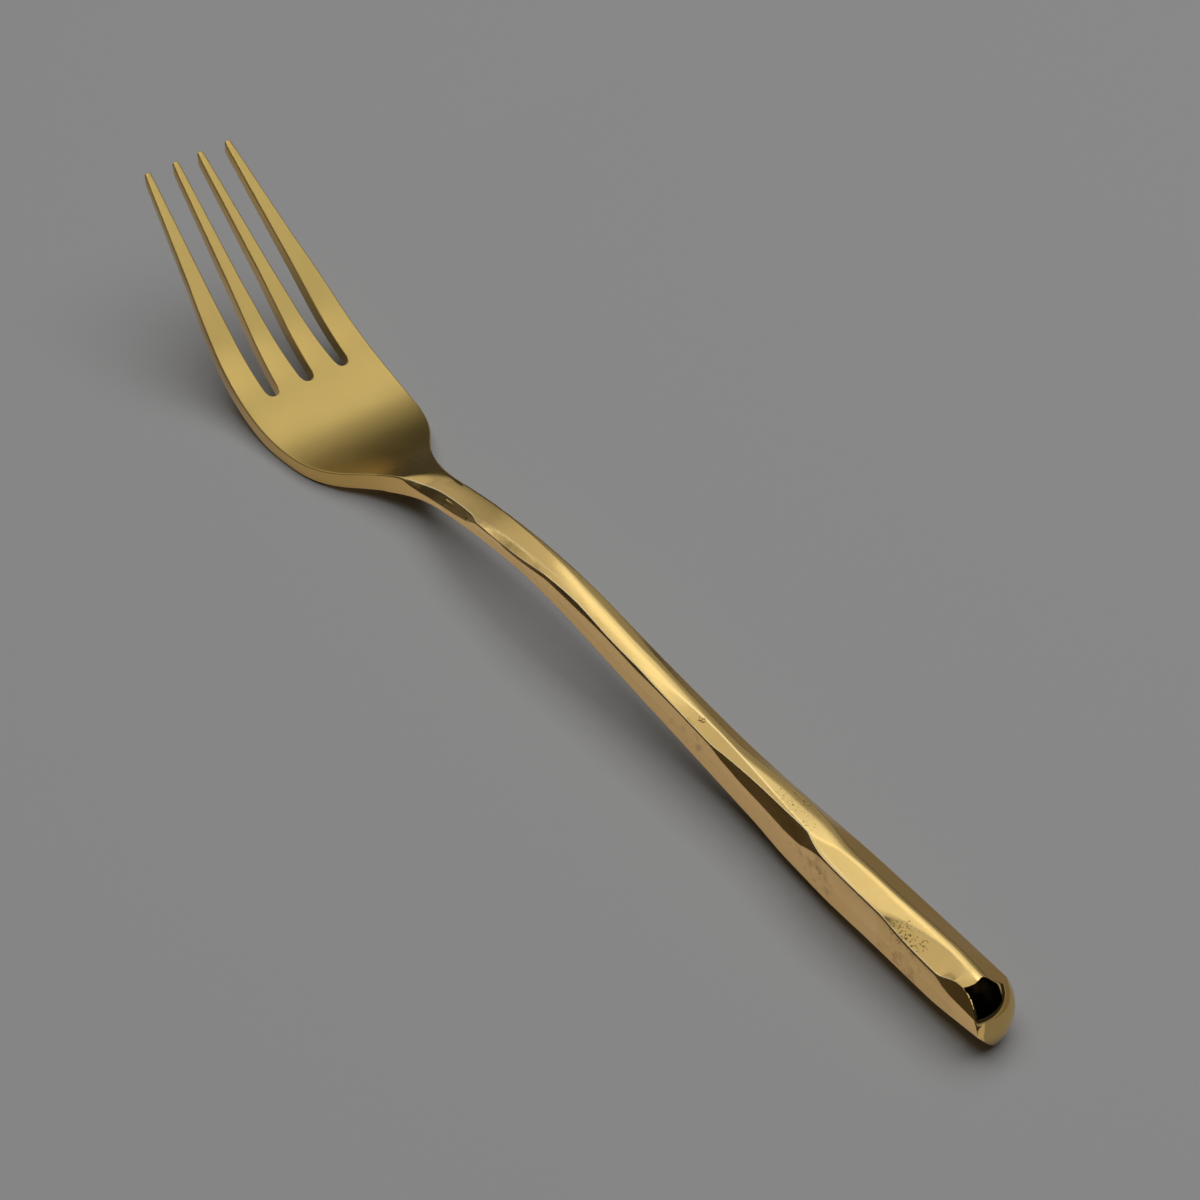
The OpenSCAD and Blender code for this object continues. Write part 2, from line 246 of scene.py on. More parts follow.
# the broad last leaf, which sweeps across the top, and the line where the right facet starts
sweep_in = eased([(143, -.5), (145.2, 1.05), (147.5, 1.75), (149.4, 2.4), (151.4, 2.95), (153.9, 3.4),
                  (156.4, 3.7)], 1.6)
crease_y = eased([(64, 1.82), (75, 1.78), (88, 1.55), (97, 1.25), (106, .95), (112, .9), (118, .75),
                  (124, .5), (129, .35), (133, .75), (137, 1.15), (144, 1.2), (147, .8), (150, .25),
                  (160, .2), (165, .4), (171, .5), (175.5, .1), (180, -.2)], 5)
# how far the top falls away at its sides, and how far from the middle it is highest, in half widths
crown_down = eased([(57, .085), (76, .085), (88, .15), (97, .12), (125, .08), (135, .05), (150, .02)])
crown_mid = eased([(57, 2.9), (73, 2.8), (89, .5), (100, 0)])
# how much the top leans to the right behind the crest
right_lean = eased([(118, 0), (128, .065), (141, .08), (147, .015), (150, 0)], 3)
reach_in = [float(crest_in(x)) for x in range(70, 180)]
print(f"the leaves reach up to {max(reach_in):.1f} mm in from the left side")

# %% Lines of the plain faces
# share of the half width that the top takes on the right, and the station where the right facet begins
crease = eased([(joint_x, 0.76), (bar_at(0.067), 0.76), (bar_at(0.4), 0.04), (bar_at(0.777), 0.02),
                (fork_l, -0.11)])
facet_start = 56
# height of the lower facets, and how high they reach inside at most
chine = eased([(55, 0), (joint_x, 0.62), (neck_at(0.76), 1.28), (bar_at(0.1), 0.9), (bar_at(0.554), 1.09),
               (bar_at(0.732), 3.09), (bar_at(0.9), 3.09), (fork_l + 4, 4.99)])
inner_chine = 3.2
# how deep the inner wall is cut off on its upper left
leaf_d = eased([(joint_x, 0.63), (neck_at(0.36), 0.87), (neck_at(0.68), 0.98), (bar_at(0.446), 1.01),
                (bar_at(0.71), 1.5)])


def right_drop(x):
    """How far the right facet has fallen where it meets the right side."""
    on_bar = max(x, joint_x)
    facet_w = (1 - crease(on_bar)) * half_w(on_bar)
    return tan(facet_a) * facet_w * np.interp(x, (facet_start, joint_x), (0, 1))


print(f"the right facet falls {right_drop(joint_x):.2f} mm at the joint, {right_drop(150):.2f} mm at 150 mm")

# %% Height of the hewn top
# station where the top's own shape begins and how long it takes, width and depth of the roll before the right
# facet, and how much the broad last leaf leans
top_start, top_ease, roll_w, roll_down, sweep_lean = 56.8, 4, 1.4, 0.17, 0.095


def soft_min(a, b, k):
    """The lower of two heights, blended where they differ by less than k."""
    h = np.maximum(k - abs(a - b), 0) / k
    return np.minimum(a, b) - h * h * k / 4


def top_field(x, y):
    """Height of the hewn top at a station, at places across it."""
    w, t, inward = half_w(x), top_z(x), y + half_w(x)
    start = np.clip((x - top_start - 2 * inward / w) / top_ease, 0, 1)
    fall = (y / w - crown_mid(x)) ** 2 - max(crown_mid(x) - 1, 0) ** 2
    z = t - crown_down(x) * fall * (3 - 2 * start) * start ** 2
    z = z - right_lean(x) * np.maximum(inward - crest_in(x), 0)
    crease_at = crease_y(x) if x >= joint_x else w - right_drop(x) / tan(facet_a) - 0.001
    # the top rolls off before the facet, which then starts with a bend
    roll = np.interp(x, (90, 118), (0, roll_down))
    z = z - roll * (np.clip(y - crease_at + roll_w, 0, roll_w) / roll_w) ** 2
    facet = t - roll - (y - crease_at) * (right_drop(x) - roll) / (w - crease_at)
    bend = np.interp(x, (95, 118, 147, 153), (0.4, 0.1, 0.1, 0.2)) * np.clip(right_drop(x) / 0.3, 0.001, 1)
    z = soft_min(z, facet, bend)
    return soft_min(z, t - (sweep_in(x) - inward) * sweep_lean, np.interp(x, (150, 156), (0.03, 0.12)))


def hewn_field(x, y):
    """The same with the leaf between the ridge and its crest."""
    w, z = half_w(x), top_field(x, y)
    a, b = ridge_in(x), crest_in(x)
    before, high, after = top_field(x, b - w + np.array([-0.05, 0, 0.05]))
    if b < a + 0.05:
        return z
    # a leaf never leans less than the top does at its crest
    steep = max((high - top_z(x) + ridge_down(x)) / (b - a), (after - before) / 0.1)
    return soft_min(z, high - (b - w - y) * steep, 0.16 * steep + 0.01)


fall = top_z(120) - hewn_field(120, np.array([ridge_in(120) - half_w(120), half_w(120)]))
print(f"at 120 mm the top falls {fall[0]:.2f} mm to the ridge and {fall[1]:.2f} mm to the right side")

# %% Flat cuts of the section


def cuts(x, inset):
    """Name, outward direction and reach of each flat cut that the bar has at a station."""
    w, t, b = half_w(x), top_z(x), low_z(x)
    if inset:
        yield "facet", (sin(facet_a), cos(facet_a)), t * cos(facet_a) + crease(x) * w * sin(facet_a)
        yield "leaf", (-sin(edge_a), cos(edge_a)), w * sin(edge_a) + t * cos(edge_a) - leaf_d(x)
    if chine(x) > 0.02:
        low_h = min(chine(x), inner_chine) if inset else chine(x)
        reach = w * sin(chine_a) - (b + low_h) * cos(chine_a)
        yield "low_right", (sin(chine_a), -cos(chine_a)), reach
        yield "low_left", (-sin(chine_a), -cos(chine_a)), reach


def section(x, inset=0.0):
    """Corners of the bar at a station, clockwise from the lower left, each with its next edge's name."""
    w, t, b = half_w(x) - inset, top_z(x) - inset, low_z(x) + inset
    corners = np.array([(-w, b), (-w, t), (w, t), (w, b)])
    shape = list(zip(corners, ("left", "top", "right", "bottom")))
    for name, away, reach in cuts(x, inset):
        kept = []
        for k, (p, edge) in enumerate(shape):
            q = shape[(k + 1) % len(shape)][0]
            past_p, past_q = (np.dot(away, point) - reach + inset for point in (p, q))
            if past_p <= 0:
                kept.append((p, edge))
            if (past_p <= 0) != (past_q <= 0):
                kept.append((p + (q - p) * past_p / (past_p - past_q), name if past_p <= 0 else edge))
        shape = kept
    return shape


print("edges at 150 mm:", ", ".join(edge for _, edge in section(150)))

# %% Points of the section
# over the top: points of the bevel's rounded foot, of the bevel, the ridge, the top and the right edge
foot_points, bevel_points, ridge_points, top_points, right_points = 4, 4, 5, 44, 6
upper_points = foot_points + bevel_points + ridge_points + top_points + right_points
# under the bar: points of each side's turn, the lower facet, the floor's turn and the floor
turn_points, facet_points, low_turn_points, floor_points = 8, 6, 4, 7


def rounded(before, corner, after, radius, count):
    """Points of a rounded corner, from the edge before it to the edge after it."""
    u, v = before - corner, after - corner
    lu, lv = np.linalg.norm(u), np.linalg.norm(v)
    turn = pi - acos(np.clip(np.dot(u, v) / lu / lv, -1, 1))
    cut = min(radius * tan(turn / 2), 0.45 * lu, 0.45 * lv)
    s = np.linspace(0, 1, count)[:, None]
    a, b = corner + u / lu * cut, corner + v / lv * cut
    return (1 - s) ** 2 * a + 2 * s * (1 - s) * corner + s ** 2 * b


def between(a, b, count, *bends):
    """Points evenly along the way from a to b, without the ends."""
    way = np.array([a, *bends, b])
    run = np.r_[0, np.cumsum(np.linalg.norm(np.diff(way, axis=0), axis=1))]
    at = np.linspace(0, run[-1], count + 2)[1:-1]
    return np.c_[np.interp(at, run, way[:, 0]), np.interp(at, run, way[:, 1])]


def left_corners(x):
    """The foot of the bevel on the left side and the ridge above it."""
    w = half_w(x)
    y = ridge_in(x) - w
    ridge = np.array([y, hewn_field(x, np.array([y]))[0]])
    return np.array([-w, min(top_z(x) - bevel_down(x), ridge[1] - 0.2)]), ridge


def upper_side(x, inset=0.0):
    """Points over the top, from the left side to the right side."""
    if inset:
        corners = [p for p, _ in section(x, inset)]
        names = [edge for _, edge in section(x, inset)]
        order = [corners[(names.index("left") + 1 + k) % len(names)] for k in range(4)]
        inner = between(order[0], order[3], upper_points - 2, order[1], order[2])
        return np.vstack([order[0], inner, order[3]])
    w = half_w(x)
    crisp = np.interp(x, (56, 66), (0.3, 0.18))
    foot, ridge = left_corners(x)
    low = rounded(foot - (0, 0.6), foot, ridge, 0.5, foot_points)
    after = ridge[0] + 0.3
    beyond = np.array([after, hewn_field(x, np.array([after]))[0]])
    high = rounded(foot, ridge, beyond, crisp, ridge_points)
    edge = np.array([w, hewn_field(x, np.array([w]))[0]])
    before = np.array([w - 0.4, hewn_field(x, np.array([w - 0.4]))[0]])
    right = rounded(before, edge, edge - (0, 0.8), 0.4, right_points)
    across = np.linspace(high[-1][0], right[0][0], top_points + 2)[1:-1]
    bevel = between(low[-1], high[0], bevel_points)
    return np.vstack([low, bevel, high, np.c_[across, hewn_field(x, across)], right])


def lower_side(x, inset=0.0):
    """Points under the bar, from the left side to the right side."""
    shape = section(x, inset)
    points, names, n = [p for p, _ in shape], [edge for _, edge in shape], len(shape)

    def turned(k, radius, count, side):
        arc = rounded(points[k - 1], points[k], points[(k + 1) % n], radius, count)
        return arc[::-1] if side == "left" else arc

    halves = []
    for side in ("left", "right"):
        a = names.index("left") if side == "left" else (names.index("right") + 1) % n
        b = (names.index("bottom") + 1) % n if side == "left" else names.index("bottom")
        if a == b:
            # no lower facet here: the side turns straight into the floor
            halves.append(turned(a, 0.3, turn_points + facet_points + low_turn_points, side))
        else:
            high, low = turned(a, 0.5, turn_points, side), turned(b, 0.4, low_turn_points, side)
            halves.append(np.vstack([high, between(high[-1], low[0], facet_points), low]))
    return np.vstack([halves[0], between(halves[0][-1], halves[1][-1], floor_points), halves[1][::-1]])


def ridge_highlight(x, points):
    """Painted highlight on the ridge and on the crests of the leaves: how much of the pale tone each point
    takes.
    """
    w, (foot, ridge) = half_w(x), left_corners(x)
    y, z = points.T
    on_ridge = np.exp(-((y - ridge[0]) / 0.1) ** 2) * (z > ridge[1] - 0.1) * np.clip((x - 57) / 2, 0, 1)
    on_crest = np.exp(-((y + w - crest_in(x)) / 0.15) ** 2) * np.clip(ridge_down(x) / 0.25, 0, 1) * (x > 73)
    return np.maximum(on_ridge, np.interp(x, (155, 160), (0.4, 0.25)) * on_crest)


print("section points:", len(upper_side(100)), "over and", len(lower_side(100)), "under")

# %% [markdown]
# ## Sheets of faces
#
# Every piece starts from Blender's flat grid, as a maker starts from flat metal. The grid has as many rows
# and columns as the piece needs, and its points are then set to their places. Each point remembers its row
# and column, also after the sheet is extruded to give it thickness.

# %% Sheet helpers
# points closer than this are merged
weld = 2e-6


def start_sheet(name, rows, columns):
    """A flat grid of points that know their row and column."""
    bpy.ops.object.select_all(action="DESELECT")
    bpy.ops.mesh.primitive_grid_add(x_subdivisions=rows - 1, y_subdivisions=columns - 1, size=2)
    piece = bpy.context.object
    piece.name = piece.data.name = name
    for axis, label, count in ((0, "row", rows), (1, "column", columns)):
        places = [round((v.co[axis] + 1) / 2 * (count - 1)) for v in piece.data.vertices]
        piece.data.attributes.new(label, "INT", "POINT").data.foreach_set("value", places)
    return piece


def marks(piece, label):
    """The row or the column of each point of a sheet."""
    values = np.zeros(len(piece.data.vertices), int)
    piece.data.attributes[label].data.foreach_get("value", values)
    return values


def thicken(piece):
    """Extrudes the whole sheet, and says which points are the new ones."""
    bpy.ops.object.mode_set(mode="EDIT")
    bpy.ops.mesh.select_all(action="SELECT")
    bpy.ops.mesh.extrude_region_move(TRANSFORM_OT_translate={"value": (0, 0, -0.5)})
    bpy.ops.object.mode_set(mode="OBJECT")
    return np.array([v.select for v in piece.data.vertices])


def place(piece, points, painted_highlight=None):
    """Sets each point to its place in millimetres, and how much painted highlight it takes."""
    piece.data.vertices.foreach_set("co", metres(points).ravel())
    if painted_highlight is not None:
        piece.data.attributes.new("painted_highlight", "FLOAT", "POINT").data.foreach_set("value", painted_highlight)
    piece.data.update()


def select_parts(piece, kind, wanted):
    """Selects the faces or edges whose points pass a test, and goes to edit mode."""
    bpy.ops.object.mode_set(mode="EDIT")
    bpy.ops.mesh.select_mode(type=kind)
    bpy.ops.mesh.select_all(action="DESELECT")
    bpy.ops.object.mode_set(mode="OBJECT")
    for part in piece.data.polygons if kind == "FACE" else piece.data.edges:
        part.select = bool(wanted(list(part.vertices)))
    bpy.ops.object.mode_set(mode="EDIT")


def finish_metal(piece, sharp=60):
    """Closes the mesh, turns its faces outwards and shades it as smooth metal with clean flats."""
    bpy.context.view_layer.objects.active = piece
    bpy.ops.object.mode_set(mode="EDIT")
    bpy.ops.mesh.select_all(action="SELECT")
    bpy.ops.mesh.remove_doubles(threshold=weld)
    bpy.ops.mesh.normals_make_consistent(inside=False)
    bpy.ops.object.mode_set(mode="OBJECT")
    bpy.ops.object.shade_smooth_by_angle(angle=radians(sharp))
    even = piece.modifiers.new("even_flats", "WEIGHTED_NORMAL")
    even.keep_sharp = True
    bpy.ops.object.modifier_apply(modifier=even.name)
    print(f"{piece.name}: {len(piece.data.polygons)} faces")


# %% [markdown]
# ## The tines and the palm
#
# The head is cut from one plate, about two millimetres thick, with three slots that leave four tines. The
# plate is then pressed to its curve, and its rim is eased by polishing. Cutting the slots with a Boolean
# would leave long thin faces at their round ends. So the sheet gets two columns of faces for each tine and
# six for each slot, and the faces of the slots are deleted. It is then extruded to the underside and set to
# the plan and the curve, and all the edges of its rim are bevelled in one go.

# %% Plan of the head
# columns of faces across a tine and a slot, length of a tine's tip, and stations where the slots, the bend of
# the rows behind them and the palm end
tine_cols, slot_cols, tip_l = 2, 6, 0.6
edge_cols = np.cumsum([0] + [tine_cols, slot_cols] * 3 + [tine_cols])
slot_end, bend_end, palm_end = slot_x - slot_w / 2, 35.0, 53.4
tine_rows = [0, tip_l, *np.linspace(1.8, slot_end, 30)]
stations = np.array([*tine_rows, slot_end + 0.6, slot_end + 1.3, *np.linspace(31.2, palm_end, 28)])
end_row = len(tine_rows) - 1
tip_y = (tip_w - tine_tip_w) / 2
tine_mid = np.array([-tip_y, -0.31 * tip_y, 0.31 * tip_y, tip_y])


def head_edges(x):
    """The eight edges of the four tines at a station; behind the slots they close up with the shoulders."""
    edges = []
    for k in (-1, 0, 1):
        side = (tine_mid[k + 1] + tine_tip_w / 2, tine_mid[k + 2] - tine_tip_w / 2)
        middle = k * (slot_pitch + 0.655 * tip_y) / 2
        at = (tip_l, slot_x / 2, slot_end)
        edges += [np.interp(x, at, (side[0], middle - 0.75 * slot_w, k * slot_pitch - slot_w / 2)),
                  np.interp(x, at, (side[1], middle + 0.75 * slot_w, k * slot_pitch + slot_w / 2))]
    edges = np.array([-side_y(x), *edges, side_y(x)])
    if x < tip_l:
        half = np.interp(x, (0, tip_l), (0.47, tine_tip_w / 2))
        edges = np.ravel([tine_mid - half, tine_mid + half], order="F")
    if x > slot_end:
        edges[1:-1] *= side_y(x) / side_y(slot_end)
    return edges


def plan_row(x):
    """Places across the head at a station, and how far a slot's round end runs on there."""
    edges, across, bulge = head_edges(x), [], []
    turn = np.linspace(0, pi, slot_cols + 1)[:-1]
    for k, (a, b) in enumerate(zip(edges[:-1], edges[1:])):
        if k % 2 == 0:
            across += list(np.linspace(a, b, tine_cols + 1)[:-1])
            bulge += [0] * tine_cols
        else:
            across += list((a + b) / 2 - (b - a) / 2 * np.cos(turn))
            bulge += list(np.sin(turn) * slot_w / 2)
    reach = np.clip((bend_end - x) / (bend_end - slot_end), 0, 1) if x >= slot_end - 0.01 else 0
    return np.array(across + [edges[-1]]), np.array(bulge + [0]) * reach


print("head:", len(stations), "rows,", edge_cols[-1] + 1, "columns, slots end at row", end_row)

# %% Sheet with three slots


def in_slot(ids):
    """Whether a face with these points lies between two tines."""
    low, high = col[ids].min(), col[ids].max()
    between_tines = any(edge_cols[k] <= low and high <= edge_cols[k + 1] for k in (1, 3, 5))
    return between_tines and row[ids].max() <= end_row


def at_palm_end(ids):
    """Whether a face with these points closes the sheet towards the neck."""
    return (row[ids] == len(stations) - 1).all()


head = start_sheet("fork_head_satin", len(stations), edge_cols[-1] + 1)
row, col = marks(head, "row"), marks(head, "column")
select_parts(head, "FACE", in_slot)
bpy.ops.mesh.delete(type="FACE")
bpy.ops.object.mode_set(mode="OBJECT")
print("flat sheet with slots:", len(head.data.polygons), "faces")

# %% Thickness, curve and eased rim
under = thicken(head)
row, col = marks(head, "row"), marks(head, "column")
rows = [plan_row(x) for x in stations]
along = np.array([stations[i] + rows[i][1][j] for i, j in zip(row, col)])
across = np.array([rows[i][0][j] for i, j in zip(row, col)])
place(head, np.c_[along, across, np.where(under, low_z(along), top_z(along))])
# the end towards the neck is opened, and the rim is bevelled
select_parts(head, "FACE", at_palm_end)
bpy.ops.mesh.delete(type="FACE")
bpy.ops.mesh.select_mode(type="EDGE")
bpy.ops.mesh.select_all(action="SELECT")
bpy.ops.mesh.normals_make_consistent(inside=False)
bpy.ops.mesh.select_all(action="DESELECT")
bpy.ops.mesh.edges_select_sharp(sharpness=radians(48))
rim = 0.0002
bpy.ops.mesh.bevel(offset=rim, segments=3, affect="EDGES", clamp_overlap=False)
bpy.ops.object.mode_set(mode="OBJECT")
print("palm and tines:", len(head.data.polygons), "faces")

# %% [markdown]
# ## The neck
#
# Behind the palm the plate draws in to a neck, and the facets of the handle begin on it. The neck is a ring
# of section points at each station, from a grid whose two long edges are merged. It is bridged to the open
# end of the palm, closed at the joint, and the tang that reaches into the handle is added behind it.

# %% Neck
neck_rows = np.linspace(palm_end + 0.6, joint_x, 34)
rings = [np.vstack([upper_side(x), lower_side(x)[::-1], upper_side(x)[:1]]) for x in neck_rows]
neck = start_sheet("neck", len(neck_rows), len(rings[0]))
# painted highlight on the ridge and the leaf crests, as a share for each point
highlight_share = [ridge_highlight(x, ring) for x, ring in zip(neck_rows, rings)]
cells = list(zip(marks(neck, "row"), marks(neck, "column")))
place(neck, [(neck_rows[i], *rings[i][j]) for i, j in cells], [highlight_share[i][j] for i, j in cells])
bpy.ops.object.mode_set(mode="EDIT")
bpy.ops.mesh.select_all(action="SELECT")
bpy.ops.mesh.remove_doubles(threshold=weld)
bpy.ops.mesh.normals_make_consistent(inside=False)
joint_at = metres([(joint_x, 0, 0)])[0][0]


def at_joint(ids):
    """Whether both points of an edge lie at the joint."""
    return all(abs(neck.data.vertices[k].co.x - joint_at) < weld / 2 for k in ids)


select_parts(neck, "EDGE", at_joint)
bpy.ops.mesh.edge_face_add()
bpy.ops.object.mode_set(mode="OBJECT")
print("neck:", len(neck.data.polygons), "faces, closed at the joint")

# %% Tang
# a long bar that leaves room for the solder's bead and the cement's bed, and starts a little inside the neck
bpy.ops.object.select_all(action="DESELECT")
bpy.ops.mesh.primitive_cube_add(size=1)
tang = bpy.context.object
tang.name = "tang"


def lengthwise(ids):
    """Whether an edge runs along the tang."""
    a, b = (tang.data.vertices[k].co.x for k in ids)
    return abs(a - b) > 0.5


select_parts(tang, "EDGE", lengthwise)
bpy.ops.mesh.subdivide(number_cuts=11)
bpy.ops.object.mode_set(mode="OBJECT")
bead_t, bed_t, root_l = 0.25, 0.45, 0.2
tang_w = neck_w - 2 * (wall + bead_t + bed_t)
tang_t = top_z(joint_x) - low_z(joint_x) - 2 * (wall + bed_t)
shape = np.array([v.co for v in tang.data.vertices])
along = joint_x - root_l + (shape[:, 0] + 0.5) * (tang_l + root_l)
place(tang, np.c_[along, shape[:, 1] * tang_w, mid_z(along) + shape[:, 2] * tang_t])
print(f"tang: {tang_w:.1f} by {tang_t:.1f} mm, {tang_l} mm long")

# %% Head in one piece
bpy.ops.object.select_all(action="DESELECT")
for piece in (neck, tang, head):
    piece.select_set(True)
bpy.context.view_layer.objects.active = head
bpy.ops.object.join()
bpy.ops.object.mode_set(mode="EDIT")
bpy.ops.mesh.select_mode(type="EDGE")
bpy.ops.mesh.select_all(action="DESELECT")
bpy.ops.mesh.select_non_manifold(extend=False, use_wire=False, use_boundary=True, use_multi_face=False,
                                 use_non_contiguous=False, use_verts=False)
bpy.ops.mesh.bridge_edge_loops()
bpy.ops.object.mode_set(mode="OBJECT")
finish_metal(head)

# %% [markdown]
# ## The two halves of the handle
#
# The handle is pressed in two halves that meet along the sides. Each half is one sheet: its rows are the
# stations along the bar and its columns are the section points from the left seam to the right seam. The
# sheet is extruded to its inner wall, which follows the same section drawn in by the wall's thickness.
# Towards the butt the rows are close together, because there a ball cuts the bar off: no point lies farther
# from its middle than its radius.

# %% Rings of a half
dome_y, dome_z = -0.154 * butt_w, 0.4 * butt_h
dome_r = hypot(butt_w / 2 - dome_y, butt_h - tan(facet_a) * 0.55 * butt_w - dome_z) + 0.013 * butt_w
dome_x = fork_l - dome_r
bar_rows = np.r_[np.linspace(joint_x, dome_x, 330), dome_x + dome_r * np.sin(np.linspace(0, pi / 2, 64))[1:]]
side_cols = 8


def half_ring(x, side, inset=0.0):
    """Points of one half at a station, from seam to seam, inside the ball of the butt."""
    x_in = min(x, fork_l)
    points, w, seam = side(x_in, inset), half_w(x) - inset, seam_z(x)
    left, right, first = np.array([-w, seam]), np.array([w, seam]), 0
    way = between(left, points[0], side_cols)
    foot, ridge = left_corners(x_in)
    if not inset and foot[1] < seam:
        # here the bevel reaches below the seam, so the halves meet on it
        left = foot + (ridge - foot) * (seam - foot[1]) / (ridge[1] - foot[1])
        if side is upper_side:
            first = foot_points + bevel_points
            way = between(left, points[first], side_cols + first)
        else:
            turn = rounded(left, foot, points[0], 0.5, foot_points)
            rest = between(turn[-1], points[0], side_cols - foot_points - 1)
            way = np.vstack([between(left, turn[0], 1), turn, rest])
    ring = np.vstack([left, way, points[first:], between(points[-1], right, side_cols), right])
    if x > dome_x:
        ball = max((dome_r - inset) ** 2 - (x - dome_x) ** 2, 0) ** 0.5
        away = ring - (dome_y, dome_z)
        ring = (dome_y, dome_z) + away * np.minimum(1, ball / np.linalg.norm(away, axis=1))[:, None]
    return ring


print(f"ball of the butt: radius {dome_r:.2f} mm, from {dome_x:.1f} mm on")

# %% Handle halves


def handle_half(name, side):
    """One half of the handle, from a sheet with an outer and an inner wall."""
    piece = start_sheet(name, len(bar_rows), len(half_ring(100, side)))
    inner = thicken(piece)
    cells = list(zip(marks(piece, "row"), marks(piece, "column"), inner))
    drawn_in = dome_x + (bar_rows - dome_x) * (dome_r - wall) / dome_r
    inner_rows = np.where(bar_rows > dome_x, drawn_in, bar_rows)
    outside = [half_ring(x, side) for x in bar_rows]
    inside = [half_ring(x, side, wall) for x in inner_rows]
    # painted highlight on the ridge and the leaf crests, none on the ball of the butt or on the inner wall
    highlight_share = [ridge_highlight(min(x, fork_l), ring) * (x < dome_x) for x, ring in zip(bar_rows, outside)]
    points = [(inner_rows[i], *inside[i][j]) if new else (bar_rows[i], *outside[i][j])
              for i, j, new in cells]
    place(piece, points, [0 if new else highlight_share[i][j] for i, j, new in cells])
    finish_metal(piece, sharp=48)
    return piece


upper = handle_half("upper_handle_hewn", upper_side)
lower = handle_half("lower_handle_polished", lower_side)

# %% [markdown]
# ## Materials
#
# The whole fork has a thin gold-coloured coat on steel. On the head it is satin, on the handle it is
# polished, and the handle keeps some fine pits of the casting and a few faint stains. A metal shows little
# of its own colour and much of what it mirrors, so the base colour is pale and the roughness does the work.
# Two marks are painted light: a pale painted highlight on the ridge and the crests of the leaves, and a
# darker base colour on the head, which is painted shade.
# Patterns are noise on Object coordinates, which are metres here, so a scale of 3 / mm gives three spots to
# the millimetre.

# %% Colour and node helpers
mm = 0.001


def linear(code):
    """An sRGB hex colour as the linear values that a socket takes."""
    parts = [int(code[k:k + 2], 16) / 255 for k in (1, 3, 5)]
    return [c / 12.92 if c <= 0.04045 else ((c + 0.055) / 1.055) ** 2.4 for c in parts] + [1]


def node(tree, kind, settings=None, **links):
    """Adds a node, sets its values and links its inputs; an input goes by its name or its identifier."""
    made = tree.nodes.new(kind)

    def socket(key):
        return next((s for s in made.inputs if key in (s.identifier, s.name, s.name.replace(" ", "_"))), None)

    for key, value in (settings or {}).items():
        if socket(key) is None:
            setattr(made, key, value)
        else:
            socket(key).default_value = value
    for key, source in links.items():
        tree.links.new(source, socket(key))
    return made


def start_material(name, settings):
    """A material with its shader set, as the material, its node tree and its shader."""
    material = bpy.data.materials.new(name)
    material.use_nodes = True
    shader = material.node_tree.nodes["Principled BSDF"]
    for key, value in settings.items():
        shader.inputs[key].default_value = value
    return material, material.node_tree, shader


# %% Gold coat
# Titanium nitride on stainless steel: it mirrors in a warm tone, sharply or softly as the polish goes.
# Casting pits of a third of a millimetre show as dark specks, and stains of one to two millimetres as a haze.
cloud_scale, pit_scale, stain_scale = 0.13 / mm, 3 / mm, 0.7 / mm
pit_ramp, stain_ramp = 0.1, 0.55
# the pale tone is a painted highlight, laid on the ridge and the crests of the leaves
pit_tone, highlight_tone = "#8A6A38", "#FFE7B0"


